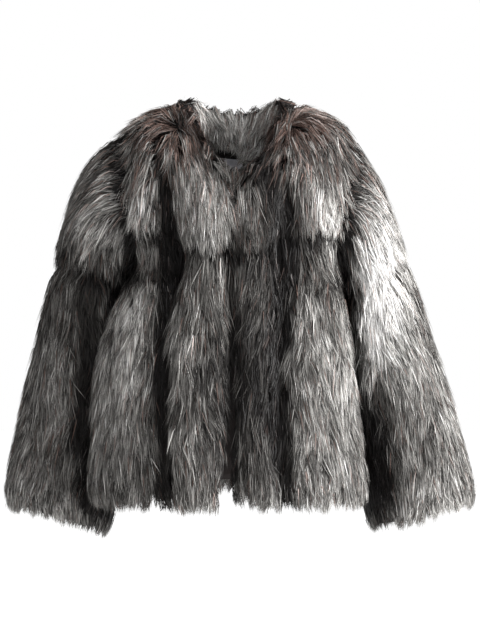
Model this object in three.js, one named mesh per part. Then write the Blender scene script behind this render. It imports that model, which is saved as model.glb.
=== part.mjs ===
// A short, wide fur coat with a small rolled collar. It closes at the throat and hangs in deep flutes.
// It keeps the hollow form of a worn coat, and each wall runs from the lining out to the tips of the fur.
// Millimetres, +Z up, the front faces -Y, and +X is the wearer's left.
// The origin is the centre of the neck hole, level with the points where the shoulders meet the neck.
import * as THREE from "three";

// Driving dimensions
const SEAM_GAP = 0.3; // between any two pieces that are sewn together
const FUR_WALL = 26; // pelt, lining and standing fur
const PRESSED_WALL = 11; // the same where the arm and the body press the fur flat
const TIER_STEP = 3.5; // how far the fur of the upper tier stands over the tier below, each way
const HEM_LIP = 13; // how far the outer face alone is drawn in below the last roll of the hem
const HEM_DROP = 7; // how much lower a flute hangs in its middle
const LINING_SHARE = 0.6; // how far the pelt follows a fold of the fur
const SKIRT_LINING_SHARE = 0.74; // below the waist, where the folds are deepest

// Body sections from the neck edge to the hem: the outer form without folds.
// front, side and back are distances from the axis, and each has its height.
// bow bends the height between front and side.
const SECTIONS = [
  { name: "neck edge", front: 116, frontZ: -125, side: 82, sideZ: -9, back: 84, backZ: -25, bow: 1.7 },
  { name: "shoulder", front: 136, frontZ: -145, side: 128, sideZ: -23, back: 114, backZ: -42, bow: 1.8 },
  { name: "shoulder point", front: 149, frontZ: -166, side: 170, sideZ: -49, back: 136, backZ: -74, bow: 2 },
  { name: "upper chest", front: 159, frontZ: -190, side: 184, sideZ: -104, back: 148, backZ: -118, bow: 2 },
  { name: "chest", front: 165, frontZ: -214, side: 186, sideZ: -160, back: 152, backZ: -162, bow: 2 },
  { name: "underarm", front: 168, frontZ: -239, side: 175, sideZ: -216, back: 152, backZ: -212, bow: 2 },
  { name: "armpit", front: 170, frontZ: -264, side: 158, sideZ: -262, back: 151, backZ: -262, bow: 2 },
  { name: "ribs", front: 172, frontZ: -312, side: 150, sideZ: -312, back: 153, backZ: -312, bow: 2 },
  { name: "waist", front: 174, frontZ: -375, side: 147, sideZ: -375, back: 157, backZ: -375, bow: 2 },
  { name: "high hip", front: 177, frontZ: -450, side: 151, sideZ: -450, back: 161, backZ: -450, bow: 2 },
  { name: "hip", front: 180, frontZ: -525, side: 161, sideZ: -525, back: 166, backZ: -525, bow: 2 },
  { name: "hem roll", front: 184, frontZ: -598, side: 173, sideZ: -594, back: 171, backZ: -588, bow: 2 },
  { name: "hem", front: 186, frontZ: -630, side: 177, sideZ: -624, back: 173, backZ: -618, bow: 2 },
];
const SHOULDER_POINT = 2;
const ARMPIT = 6;
const HEM = SECTIONS.length - 1;

// The armhole is an oval between the shoulder point and the armpit.
const ARMHOLE = { frontReach: 29, backReach: 27, fullness: 0.8 }; // degrees from the side, power of sine
const RING_STEP = 15; // degrees between the points of a sleeve ring
const RING_POINTS = 360 / RING_STEP;
const YOKE_ROWS = 5; // mesh rows from the neck edge to the shoulder point
const SKIRT_ROWS = 14; // mesh rows from the armpit to the hem
const TIER_STATION = 7; // the armhole row where the upper tier of pelts ends

// Folds that run down the coat, at five heights: [degrees from the centre front, depth].
// Plus is towards the wearer's left. A fold of depth 0 only ends a flute.
const FOLD_HEIGHTS = [-60, -120, -210, -400, -630];
const FOLDS = [
  { name: "right back", at: [[-150, 0], [-150, 5], [-149, 16], [-147, 26], [-147, 28]] },
  { name: "right nest back", at: [[-114, 0], [-114, 0], [-114, 2], [-113, 6], [-113, 8]] },
  { name: "right nest front", at: [[-74, 0], [-74, 0], [-72, 0], [-70, 0], [-69, 0]] },
  { name: "right front", at: [[-47, 3], [-46, 20], [-41, 42], [-35, 58], [-35, 52]] },
  { name: "centre front", at: [[0, 2], [0, 8], [0, 15], [0, 17], [0, 20]] },
  { name: "left front", at: [[35, 2], [35, 10], [30, 43], [25, 50], [24, 46]] },
  { name: "left nest front", at: [[72, 0], [72, 0], [68, 0], [64, 0], [65, 0]] },
  { name: "left nest back", at: [[114, 0], [114, 0], [114, 2], [113, 6], [113, 8]] },
  { name: "left back", at: [[146, 0], [146, 5], [145, 18], [143, 28], [142, 30]] },
  { name: "centre back", at: [[180, 0], [180, 3], [178, 10], [175, 22], [174, 26]] },
];
const FOLD_REACH = 0.75; // share of the way to the next fold over which a fold fades

// The corner flutes swell past the oval section: degrees from the centre front where each one rises
// and ends, and millimetres at five heights.
const SWELL_HEIGHTS = [-258, -310, -400, -520, -630];
const SWELLS = [
  { name: "right front", side: -1, rises: [8, 36], ends: [70, 86], by: [0, 42, 76, 70, 62] },
  { name: "left front", side: 1, rises: [8, 34], ends: [64, 84], by: [0, 30, 46, 48, 47] },
  { name: "right back", side: -1, rises: [172, 146], ends: [124, 104], by: [0, 10, 24, 32, 36] },
  { name: "left back", side: 1, rises: [170, 144], ends: [124, 104], by: [0, 12, 26, 34, 36] },
];

// The front edges: where their middle lies and how far apart they are, by height.
const OPENING_HEIGHTS = [-120, -200, -280, -355, -434, -510, -590, -632];
const OPENING = { middle: [-4, 0, 5, -3, -8, -12, -16, -16], gap: [0.8, 0.8, 0.8, 6, 13, 19, 24, 28] };
const CORNER_LIFT = { by: 17, reach: 14 }; // the left front's hem rises to its corner: height, degrees

// Sleeve rings after the armhole, each an oval from its outer point (ox, oz) to its inner point (ix, iz).
// midY is the middle of its depth.
const SLEEVES = [
  {
    name: "right",
    side: -1,
    rings: [
      { ox: 208, oz: -79, ix: 162, iz: -267, midY: -2, depth: 168 },
      { ox: 239, oz: -122, ix: 164, iz: -273, midY: 2, depth: 168 },
      { ox: 260, oz: -184, ix: 164, iz: -284, midY: 8, depth: 166 },
      { ox: 275, oz: -247, ix: 163, iz: -301, midY: 14, depth: 162 },
      { ox: 290, oz: -308, ix: 161, iz: -340, midY: 19, depth: 158 },
      { ox: 303, oz: -360, ix: 160, iz: -386, midY: 22, depth: 156 },
      { ox: 315, oz: -415, ix: 162, iz: -438, midY: 23, depth: 156 },
      { ox: 327, oz: -470, ix: 167, iz: -492, midY: 21, depth: 158 },
      { ox: 339, oz: -527, ix: 175, iz: -550, midY: 17, depth: 162 },
      { ox: 350, oz: -580, ix: 186, iz: -606, midY: 13, depth: 164 },
      { ox: 354, oz: -613, ix: 194, iz: -650, midY: 10, depth: 162 },
      { ox: 341, oz: -639, ix: 207, iz: -679, midY: 9, depth: 136 },
    ],
    folds: [
      { name: "front", from: 4, to: 10, startAt: 100, endAt: 68, depth: 9, width: 17 },
      { name: "back", from: 4, to: 10, startAt: 262, endAt: 284, depth: 10, width: 18 },
    ],
  },
  {
    name: "left",
    side: 1,
    rings: [
      { ox: 198, oz: -94, ix: 162, iz: -267, midY: -2, depth: 168 },
      { ox: 219, oz: -132, ix: 163, iz: -273, midY: 2, depth: 168 },
      { ox: 240, oz: -184, ix: 162, iz: -284, midY: 8, depth: 166 },
      { ox: 259, oz: -242, ix: 160, iz: -302, midY: 14, depth: 160 },
      { ox: 279, oz: -303, ix: 158, iz: -342, midY: 18, depth: 156 },
      { ox: 295, oz: -356, ix: 158, iz: -388, midY: 20, depth: 154 },
      { ox: 312, oz: -410, ix: 163, iz: -440, midY: 20, depth: 156 },
      { ox: 331, oz: -470, ix: 171, iz: -496, midY: 18, depth: 160 },
      { ox: 347, oz: -530, ix: 182, iz: -556, midY: 14, depth: 164 },
      { ox: 361, oz: -584, ix: 194, iz: -608, midY: 10, depth: 166 },
      { ox: 367, oz: -616, ix: 204, iz: -646, midY: 8, depth: 164 },
      { ox: 356, oz: -634, ix: 220, iz: -672, midY: 8, depth: 138 },
    ],
    folds: [
      { name: "front", from: 3, to: 9, startAt: 80, endAt: 132, depth: 15, width: 14 },
      { name: "back", from: 4, to: 10, startAt: 272, endAt: 250, depth: 10, width: 18 },
    ],
  },
];
const CAP_RINGS = 4; // rings in the upper tier of a sleeve
const CUFF_LIP = 12; // how far the outer face alone is drawn in at the cuff

// The collar's rolled section at five places round the neck: its height over the neck edge,
// how far it stands in past the lining, and how far it falls inside.
const COLLAR_ANGLES = [0, 30, 60, 110, 180];
const COLLAR = { roll: [5, 8, 13, 16, 16], over: [4, 6, 8, 10, 11], fall: [5, 14, 28, 38, 42] };
const COLLAR_FALL_OUTWARD = 0.34; // how much the fall leans back as it drops

const LABEL = { width: 44, height: 30, thick: 1.2, x: -14, section: 2.4 };

const MATERIALS = {
  darkFur: { color: 0x4c4846, roughness: 0.85, metalness: 0 },
  silverFur: { color: 0x77736f, roughness: 0.85, metalness: 0 },
  collarFur: { color: 0x544b48, roughness: 0.85, metalness: 0 },
  satin: { color: 0xb9b7c4, roughness: 0.45, metalness: 0 },
};

const radians = THREE.MathUtils.degToRad;

// Straight interpolation in a table of values at falling heights.
function atHeight(heights, values, z) {
  if (z >= heights[0]) return values[0];
  for (let i = 1; i < heights.length; i++) {
    if (z >= heights[i]) {
      const share = (heights[i - 1] - z) / (heights[i - 1] - heights[i]);
      return values[i - 1] + (values[i] - values[i - 1]) * share;
    }
  }
  return values[values.length - 1];
}

// A smooth value between rows of a table, through every row.
function smoothRow(rows, column, v) {
  const last = rows.length - 1;
  const i = Math.min(Math.floor(v), last - 1);
  const t = v - i;
  const value = (k) => rows[Math.min(Math.max(k, 0), last)][column];
  const [a, b, c, d] = [value(i - 1), value(i), value(i + 1), value(i + 2)];
  const [slopeB, slopeC] = [(c - a) / 2, (d - b) / 2];
  const t2 = t * t;
  const t3 = t2 * t;
  return (2 * t3 - 3 * t2 + 1) * b + (t3 - 2 * t2 + t) * slopeB + (3 * t2 - 2 * t3) * c + (t3 - t2) * slopeC;
}

const smoothStep = THREE.MathUtils.smoothstep;

// 0 to 1 as an angle goes from one bound to the other, in either direction.
function between(angle, from, to) {
  const share = (angle - from) / (to - from);
  return smoothStep(share, 0, 1);
}

const foldHeight = (z) => Math.max(z, FOLD_HEIGHTS[FOLD_HEIGHTS.length - 1]);

// The folds at a height, sorted round the body, with the first one repeated past the last.
function foldsAt(z) {
  const list = FOLDS.map(({ at }) => ({
    angle: atHeight(FOLD_HEIGHTS, at.map((p) => p[0]), foldHeight(z)),
    depth: atHeight(FOLD_HEIGHTS, at.map((p) => p[1]), foldHeight(z)),
  }));
  list.sort((a, b) => a.angle - b.angle);
  const before = { ...list[list.length - 1], angle: list[list.length - 1].angle - 360 };
  const after = { ...list[0], angle: list[0].angle + 360 };
  return [before, ...list, after];
}

// Where an angle lies between its two neighbouring folds.
function flute(angle, z) {
  const list = foldsAt(z);
  let i = 1;
  while (i < list.length - 1 && angle > list[i].angle) i++;
  const [low, high] = [list[i - 1], list[i]];
  return { low, high, share: (angle - low.angle) / (high.angle - low.angle) };
}

const foldFade = (share) => Math.max(0, 1 - share / FOLD_REACH) ** 2;

function foldCut(angle, z) {
  const { low, high, share } = flute(angle, z);
  return low.depth * foldFade(share) + high.depth * foldFade(1 - share);
}

function swell(angle, z) {
  let total = 0;
  for (const { side, rises, ends, by } of SWELLS) {
    const onSide = side * angle;
    if (onSide < 0) continue;
    total += between(onSide, ...rises) * (1 - between(onSide, ...ends)) * atHeight(SWELL_HEIGHTS, by, z);
  }
  return total;
}

// The outer form of the body at an angle and a section, with a share of its folds cut in.
function bodyForm(angle, v, foldShare) {
  const a = radians(angle);
  const isFront = Math.abs(angle) < 90;
  const side = smoothRow(SECTIONS, "side", v);
  const along = smoothRow(SECTIONS, isFront ? "front" : "back", v);
  const farZ = smoothRow(SECTIONS, isFront ? "frontZ" : "backZ", v);
  const sideZ = smoothRow(SECTIONS, "sideZ", v);
  const bow = isFront ? smoothRow(SECTIONS, "bow", v) : 2;
  const z = farZ + (sideZ - farZ) * Math.abs(Math.sin(a)) ** bow;
  const oval = 1 / Math.hypot(Math.sin(a) / side, Math.cos(a) / along);
  const r = oval + swell(angle, z) - foldShare * foldCut(angle, z);
  const { share } = flute(angle, z);
  const hemShare = Math.max(0, (v - ARMPIT) / (HEM - ARMPIT)) ** 3;
  const nearCorner = angle > -2 ? Math.min(1, Math.max(0, 1 - angle / CORNER_LIFT.reach)) : 0;
  const middle = Math.sin(Math.PI * Math.min(Math.max(share, 0), 1));
  const lowering = HEM_DROP * middle - CORNER_LIFT.by * nearCorner;
  const drop = foldShare * hemShare * lowering;
  return new THREE.Vector3(r * Math.sin(a), -r * Math.cos(a), z - drop);
}

// The direction out of the unfolded form.
function bodyNormal(angle, v) {
  const [down, up] = [Math.min(v + 0.1, HEM), Math.max(v - 0.1, 0)];
  const alongV = bodyForm(angle, down, 0).sub(bodyForm(angle, up, 0));
  const alongAngle = bodyForm(angle + 1, v, 0).sub(bodyForm(angle - 1, v, 0));
  return alongV.cross(alongAngle).normalize();
}

function bodyWall(angle, v) {
  const turn = Math.abs(Math.abs(angle) - 90);
  const nearSide = 1 - smoothStep(turn, 6, 26);
  return THREE.MathUtils.lerp(FUR_WALL, PRESSED_WALL, nearSide * smoothStep(v, 4.8, 6.2));
}

// Outer and inner points of the body wall. step lifts the outer face where two tiers meet.
function bodyPair(angle, v, step) {
  const normal = bodyNormal(angle, v);
  const lip = HEM_LIP * Math.max(0, v - (HEM - 1));
  const liningShare = THREE.MathUtils.lerp(LINING_SHARE, SKIRT_LINING_SHARE, smoothStep(v, 6.5, 8));
  const outer = bodyForm(angle, v, 1).addScaledVector(normal, -lip);
  const inner = bodyForm(angle, v, liningShare).addScaledVector(normal, -bodyWall(angle, v));
  outer.addScaledVector(outer.clone().sub(inner).normalize(), step);
  return { outer, inner };
}

// Station 0 is the shoulder point and the last one the armpit; turn is the sleeve angle there.
const ARMHOLE_STATIONS = 180 / RING_STEP;
const armholeTurn = (station) => station * RING_STEP;
const armholeSection = (station) => {
  const middle = (SHOULDER_POINT + ARMPIT) / 2;
  const half = (ARMPIT - SHOULDER_POINT) / 2;
  return middle - half * Math.cos(radians(armholeTurn(station)));
};
const armholeOpen = (station) => Math.max(0, Math.sin(radians(armholeTurn(station)))) ** ARMHOLE.fullness;

// The mesh rows of the body: { v, edge }, where edge is the share of the armhole's reach at that row.
function bodyRows() {
  const rows = [];
  for (let i = 0; i < YOKE_ROWS; i++) rows.push({ v: (SHOULDER_POINT * i) / YOKE_ROWS, edge: 0 });
  for (let s = 0; s <= ARMHOLE_STATIONS; s++) rows.push({ v: armholeSection(s), edge: armholeOpen(s) });
  const step = (HEM - ARMPIT) / SKIRT_ROWS;
  for (let i = 1; i <= SKIRT_ROWS; i++) rows.push({ v: ARMPIT + i * step, edge: 0 });
  return rows;
}
const ROWS = bodyRows();
const TIER_ROW = YOKE_ROWS + TIER_STATION;

// Angles at one row of a panel, spread evenly between its edges and the folds that lie in it.
function spread(stops, counts) {
  const angles = [stops[0]];
  counts.forEach((count, i) => {
    for (let k = 1; k <= count; k++) angles.push(stops[i] + ((stops[i + 1] - stops[i]) * k) / count);
  });
  return angles;
}

function openingAngle(side, v) {
  const z = smoothRow(SECTIONS, "frontZ", v);
  const middle = atHeight(OPENING_HEIGHTS, OPENING.middle, z);
  const gap = atHeight(OPENING_HEIGHTS, OPENING.gap, z);
  const x = middle + (side * gap) / 2;
  return THREE.MathUtils.radToDeg(Math.atan2(x, smoothRow(SECTIONS, "front", v)));
}

function foldAngle(name, z) {
  const { at } = FOLDS.find((fold) => fold.name === name);
  return atHeight(FOLD_HEIGHTS, at.map((p) => p[0]), foldHeight(z));
}

// A front panel's row runs from the centre opening, over its fold, to the side.
function frontAngles(side, { v, edge }) {
  const z = smoothRow(SECTIONS, "frontZ", v);
  const fold = foldAngle(side > 0 ? "left front" : "right front", z);
  const nest = foldAngle(side > 0 ? "left nest front" : "right nest front", z);
  const out = side * (90 - ARMHOLE.frontReach * edge);
  const turn = side * Math.min(Math.abs(nest), Math.abs(fold) + (Math.abs(out) - Math.abs(fold)) * 0.72);
  return spread([openingAngle(side, v), fold, turn, out], [6, 7, 5]);
}

function backAngles({ v, edge }) {
  const z = smoothRow(SECTIONS, "backZ", v);
  const reach = 90 + ARMHOLE.backReach * edge;
  const stops = [
    reach,
    Math.max(foldAngle("left nest back", z), reach + 4),
    foldAngle("left back", z),
    foldAngle("centre back", z),
    360 + foldAngle("right back", z),
    360 - Math.max(-foldAngle("right nest back", z), reach + 4),
    360 - reach,
  ];
  return spread(stops, [4, 5, 6, 6, 5, 4]);
}

const wrap = (angle) => (angle > 180 ? angle - 360 : angle);

// Rows of outer and inner points between two mesh rows.
function panelGrid(anglesOf, first, last) {
  const grid = { outer: [], inner: [] };
  for (let i = first; i <= last; i++) {
    const isUpper = last <= TIER_ROW;
    const away = Math.min(1, Math.abs(i - TIER_ROW) / 2);
    const step = (isUpper ? TIER_STEP : -TIER_STEP) * (1 - away);
    const pairs = anglesOf(ROWS[i]).map((angle) => bodyPair(wrap(angle), ROWS[i].v, step));
    grid.outer.push(pairs.map((p) => p.outer));
    grid.inner.push(pairs.map((p) => p.inner));
  }
  return grid;
}

// The border of a grid as closed paths. Each point names the border that runs on from it.
function borderPaths(rows, columns, isRing) {
  const count = (length, make) => Array.from({ length }, (_, k) => make(k));
  if (isRing) {
    const ring = (i, name) => count(columns, (j) => ({ i, j, name }));
    return [ring(0, "top"), ring(rows - 1, "bottom")];
  }
  const [last, end] = [rows - 1, columns - 1];
  return [
    [
      ...count(end, (j) => ({ i: 0, j, name: "top" })),
      ...count(last, (i) => ({ i, j: end, name: "sides" })),
      ...count(end, (j) => ({ i: last, j: end - j, name: "bottom" })),
      ...count(last, (i) => ({ i: last - i, j: 0, name: "sides" })),
    ],
  ];
}

// Moves the sewn borders of a wall half a seam gap inwards, square to their end faces.
function insetBorders({ outer, inner }, sewn, isRing) {
  const cloned = (grid) => grid.map((row) => row.map((point) => point.clone()));
  const copy = { outer: cloned(outer), inner: cloned(inner) };
  for (const path of borderPaths(outer.length, outer[0].length, isRing)) {
    const middle = ({ i, j }) => outer[i][j].clone().add(inner[i][j]);
    const through = ({ i, j }) => outer[i][j].clone().sub(inner[i][j]);
    const squares = path.map((here, k) => {
      const next = path[(k + 1) % path.length];
      return middle(next).sub(middle(here)).cross(through(here).add(through(next))).normalize();
    });
    const probeAt = Math.floor(outer[0].length / 2);
    const probe = path[probeAt];
    const inside = middle({ i: probe.i === 0 ? 1 : probe.i - 1, j: probe.j }).sub(middle(probe));
    const sign = Math.sign(inside.dot(squares[probeAt]));
    path.forEach(({ i, j, name }, k) => {
      const before = (k + path.length - 1) % path.length;
      const pulls = [];
      if (sewn[path[before].name]) pulls.push(squares[before]);
      if (sewn[name]) pulls.push(squares[k]);
      if (pulls.length === 0) return;
      const pull = pulls.reduce((sum, p) => sum.add(p), new THREE.Vector3());
      const share = pulls.length === 2 ? Math.max(0.6, 1 + pulls[0].dot(pulls[1])) : 1;
      pull.multiplyScalar((sign * SEAM_GAP) / 2 / share);
      copy.outer[i][j].add(pull);
      copy.inner[i][j].add(pull);
    });
  }
  return copy;
}

function signedVolume(positions, faces) {
  const corner = (i) => new THREE.Vector3().fromArray(positions, 3 * i);
  let volume = 0;
  for (let f = 0; f < faces.length; f += 3) {
    volume += corner(faces[f]).dot(corner(faces[f + 1]).cross(corner(faces[f + 2])));
  }
  return volume / 6;
}

// A closed wall between two grids of the same size. A ring joins its last column to its first.
function wallGeometry(outer, inner, isRing) {
  const rows = outer.length;
  const columns = outer[0].length;
  const positions = [...outer.flat(), ...inner.flat()].flatMap((p) => p.toArray());
  const out = (i, j) => i * columns + (j % columns);
  const into = (i, j) => rows * columns + out(i, j);
  const faces = [];
  const quad = (a, b, c, d) => faces.push(a, b, c, a, c, d);
  const spans = isRing ? columns : columns - 1;
  for (let i = 0; i < rows - 1; i++) {
    for (let j = 0; j < spans; j++) {
      quad(out(i, j), out(i + 1, j), out(i + 1, j + 1), out(i, j + 1));
      quad(into(i, j), into(i, j + 1), into(i + 1, j + 1), into(i + 1, j));
    }
  }
  // Two sewn end faces are split along the same diagonal, so that they stay a seam gap apart.
  const height = (i, j) => outer[i][j % columns].z;
  const last = rows - 1;
  for (let j = 0; j < spans; j++) {
    const isFalling = isRing && height(0, j) > height(0, j + 1);
    if (isFalling) quad(out(0, j + 1), into(0, j + 1), into(0, j), out(0, j));
    else quad(out(0, j), out(0, j + 1), into(0, j + 1), into(0, j));
    quad(out(last, j), into(last, j), into(last, j + 1), out(last, j + 1));
  }
  for (let i = 0; i < rows - 1 && !isRing; i++) {
    quad(out(i + 1, 0), out(i, 0), into(i, 0), into(i + 1, 0));
    quad(out(i + 1, spans), into(i + 1, spans), into(i, spans), out(i, spans));
  }
  if (signedVolume(positions, faces) < 0) faces.reverse();
  const geometry = new THREE.BufferGeometry();
  geometry.setAttribute("position", new THREE.Float32BufferAttribute(positions, 3));
  geometry.setIndex(faces);
  return geometry;
}

function mesh(name, geometry, material) {
  const made = new THREE.Mesh(geometry, new THREE.MeshStandardMaterial(MATERIALS[material]));
  made.name = name;
  return made;
}

function panel(name, anglesOf, first, last, material) {
  const sewn = { top: true, bottom: last < ROWS.length - 1, sides: true };
  const { outer, inner } = insetBorders(panelGrid(anglesOf, first, last), sewn, false);
  return mesh(name, wallGeometry(outer, inner, false), material);
}

// The armhole's loop as the sleeve meets it: down its front edge and up its back edge.
function armholeLoop(side) {
  const loop = { outer: [], inner: [] };
  for (let k = 0; k < RING_POINTS; k++) {
    const isFront = k <= ARMHOLE_STATIONS;
    const station = isFront ? k : RING_POINTS - k;
    const reach = isFront ? -ARMHOLE.frontReach : ARMHOLE.backReach;
    const { outer, inner } = bodyPair(side * (90 + reach * armholeOpen(station)), armholeSection(station), 0);
    loop.outer.push(outer);
    loop.inner.push(inner);
  }
  return loop;
}

function sleeveFoldCut(folds, ring, turn) {
  let cut = 0;
  for (const { from, to, startAt, endAt, depth, width } of folds) {
    const share = (ring - from) / (to - from);
    if (share <= 0 || share >= 1.35) continue;
    const centre = startAt + (endAt - startAt) * share;
    const fade = Math.sin(Math.PI * Math.min(share / 1.35, 1)) ** 0.6;
    cut += depth * fade * Math.exp(-Math.abs(turn - centre) / width);
  }
  return cut;
}

function sleeveWall(turn) {
  const facing = (1 + Math.cos(radians(turn))) / 2; // 1 on the outside of the arm, 0 against the body
  return THREE.MathUtils.lerp(PRESSED_WALL, FUR_WALL - 3, smoothStep(facing, 0, 0.45));
}

// One oval ring of a sleeve. turn 0 is its outer point, 90 the front and 180 against the body.
function sleeveRing({ side, rings, folds }, index, step) {
  const { ox, oz, ix, iz, midY, depth } = rings[index];
  const isLast = index === rings.length - 1;
  const centre = new THREE.Vector3((side * (ox + ix)) / 2, midY, (oz + iz) / 2);
  const across = new THREE.Vector3((side * (ox - ix)) / 2, 0, (oz - iz) / 2);
  const ring = { outer: [], inner: [] };
  for (let k = 0; k < RING_POINTS; k++) {
    const turn = k * RING_STEP;
    const spoke = across.clone().multiplyScalar(Math.cos(radians(turn)));
    spoke.y -= (depth / 2) * Math.sin(radians(turn));
    const length = spoke.length();
    const cut = sleeveFoldCut(folds, index, turn);
    const wall = sleeveWall(turn) - (isLast ? CUFF_LIP : 0);
    spoke.divideScalar(length);
    ring.outer.push(centre.clone().addScaledVector(spoke, length - cut + step));
    ring.inner.push(centre.clone().addScaledVector(spoke, length - LINING_SHARE * cut - wall));
  }
  return ring;
}

function sleevePiece(name, sleeve, first, last, material) {
  const isCap = first < 0;
  const seam = CAP_RINGS - 1;
  const rings = [];
  for (let i = first; i <= last; i++) {
    const step = (isCap ? TIER_STEP : -TIER_STEP) * Math.max(0, 1 - Math.abs(i - seam));
    rings.push(i < 0 ? armholeLoop(sleeve.side) : sleeveRing(sleeve, i, step));
  }
  const grid = { outer: rings.map((r) => r.outer), inner: rings.map((r) => r.inner) };
  const { outer, inner } = insetBorders(grid, { top: true, bottom: isCap }, true);
  return mesh(name, wallGeometry(outer, inner, true), material);
}

const aroundCollar = (values, angle) => {
  const heights = COLLAR_ANGLES.map((a) => -a);
  return atHeight(heights, values, -Math.abs(angle));
};

// The collar's section at one angle: it sits on the neck edge, rolls over and falls inside.
function collarSection(angle) {
  const { outer, inner } = bodyPair(angle, 0, 0);
  const inward = new THREE.Vector3(-outer.x, -outer.y, 0).normalize();
  const [roll, over, fall] = [COLLAR.roll, COLLAR.over, COLLAR.fall].map((c) => aroundCollar(c, angle));
  const step = inner.clone().sub(outer).normalize();
  const upward = bodyForm(angle, 0, 1).sub(bodyForm(angle, 0.3, 1));
  const lift = upward.addScaledVector(step, -upward.dot(step)).normalize();
  const seat = (p) => p.clone().addScaledVector(lift, SEAM_GAP / 2);
  const at = (base, into, up) => base.clone().addScaledVector(inward, into).add(new THREE.Vector3(0, 0, up));
  const across = inner.clone().sub(outer).dot(inward);
  const lean = -COLLAR_FALL_OUTWARD * fall;
  return [
    seat(outer),
    at(outer, 3, roll * 0.6),
    at(outer, across * 0.4, roll),
    at(outer, across * 0.85, roll * 0.7),
    at(inner, over, (outer.z - inner.z) * 0.5),
    at(inner, over + 1 + lean * 0.4, -fall * 0.5),
    at(inner, over * 0.6 + lean, -fall),
    at(inner, 1.5 + lean * 0.5, -fall * 0.6),
    seat(inner),
  ];
}

// The collar has a section at each column of the neck edge below it.
function collar() {
  const left = frontAngles(1, ROWS[0]);
  const right = frontAngles(-1, ROWS[0]).reverse();
  const angles = [...left, ...backAngles(ROWS[0]).slice(1), ...right.slice(1)];
  const loops = angles.map((angle) => collarSection(wrap(angle)));
  const count = loops[0].length;
  const positions = loops.flat().flatMap((p) => p.toArray());
  const faces = [];
  const lastLoop = loops.length - 1;
  const rightStart = angles.length - right.length;
  for (let i = 0; i < lastLoop; i++) {
    for (let j = 0; j < count; j++) {
      const [c, d] = [i * count + j, i * count + ((j + 1) % count)];
      const isTurned = j === count - 1 && i < rightStart;
      if (isTurned) faces.push(c, c + count, d, c + count, d + count, d);
      else faces.push(c, c + count, d + count, c, d + count, d);
    }
  }
  for (let j = 1; j < count - 1; j++) {
    faces.push(0, j, j + 1);
    faces.push(lastLoop * count, lastLoop * count + j + 1, lastLoop * count + j);
  }
  if (signedVolume(positions, faces) < 0) faces.reverse();
  const geometry = new THREE.BufferGeometry();
  geometry.setAttribute("position", new THREE.Float32BufferAttribute(positions, 3));
  geometry.setIndex(faces);
  return mesh("collar", geometry, "collarFur");
}

// A blank satin label that lies on the back lining, below the collar's fall.
function label() {
  const angle = 180 - THREE.MathUtils.radToDeg(Math.atan2(LABEL.x, SECTIONS[3].back));
  const { inner } = bodyPair(wrap(angle), LABEL.section, 0);
  const normal = bodyNormal(wrap(angle), LABEL.section);
  const made = mesh("neck_label", new THREE.BoxGeometry(LABEL.width, LABEL.thick, LABEL.height), "satin");
  made.position.copy(inner).addScaledVector(normal, -(LABEL.thick / 2 + 3.2));
  made.rotation.set(Math.asin(normal.z), 0, 0);
  return made;
}

const coat = new THREE.Group();
for (const side of [-1, 1]) {
  const word = side > 0 ? "left" : "right";
  const angles = (row) => frontAngles(side, row);
  coat.add(panel("yoke_front_" + word, angles, 0, TIER_ROW, "darkFur"));
  coat.add(panel("body_front_" + word, angles, TIER_ROW, ROWS.length - 1, "silverFur"));
}
coat.add(panel("yoke_back", backAngles, 0, TIER_ROW, "darkFur"));
coat.add(panel("body_back", backAngles, TIER_ROW, ROWS.length - 1, "silverFur"));
for (const sleeve of SLEEVES) {
  coat.add(sleevePiece("sleeve_cap_" + sleeve.name, sleeve, -1, CAP_RINGS - 1, "darkFur"));
  coat.add(sleevePiece("sleeve_" + sleeve.name, sleeve, CAP_RINGS - 1, sleeve.rings.length - 1, "silverFur"));
}
coat.add(collar(), label());

export default coat;
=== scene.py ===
"""A short, wide coat of long silver-grey fur, hollow as worn.

Every panel of the coat is a thin pelt with its lining, and a pile of hair that stands on it. The pelt
keeps the form of the panel's solid, and the tips of the hair reach that solid's outer face.
"""
import logging
import math
from dataclasses import dataclass
from enum import Enum

import bmesh
import bpy
import numpy as np
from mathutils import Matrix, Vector
from mathutils.bvhtree import BVHTree


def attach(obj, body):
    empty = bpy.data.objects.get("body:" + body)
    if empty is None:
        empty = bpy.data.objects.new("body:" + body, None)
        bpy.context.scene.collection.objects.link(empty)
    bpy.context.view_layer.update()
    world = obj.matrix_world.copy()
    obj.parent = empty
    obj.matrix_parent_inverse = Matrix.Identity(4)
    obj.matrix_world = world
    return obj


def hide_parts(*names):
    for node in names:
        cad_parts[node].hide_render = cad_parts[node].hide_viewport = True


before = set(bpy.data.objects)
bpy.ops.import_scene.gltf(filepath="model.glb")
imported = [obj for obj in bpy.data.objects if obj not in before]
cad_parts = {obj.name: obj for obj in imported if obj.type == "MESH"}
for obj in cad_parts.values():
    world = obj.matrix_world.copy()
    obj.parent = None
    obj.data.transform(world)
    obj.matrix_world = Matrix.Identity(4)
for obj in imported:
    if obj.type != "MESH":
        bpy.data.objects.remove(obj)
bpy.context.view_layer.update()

log = logging.getLogger("coat")

BAKE_MAP = "OFBake"

# Across the bake map lie the shades of grey hair, and from this place on those of brown hair.
BROWN_FROM = 0.75

DOWN = np.array([0.0, 0.0, -1.0])

# One pixel of the photo is this long on the coat, in metres, and the origin lies at this pixel.
PIXEL = 0.00155
ORIGIN_PIXEL = (236, 100)
PHOTO_SIZE = (480, 640)


class Part(Enum):
    """What a panel goes round."""

    BODY = "body"
    ARM = "arm"
    NECK = "neck"


class Side(Enum):
    """The face of a panel's wall that a triangle belongs to."""

    FUR = 1
    LINING = -1
    SEAM = 0


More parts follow.
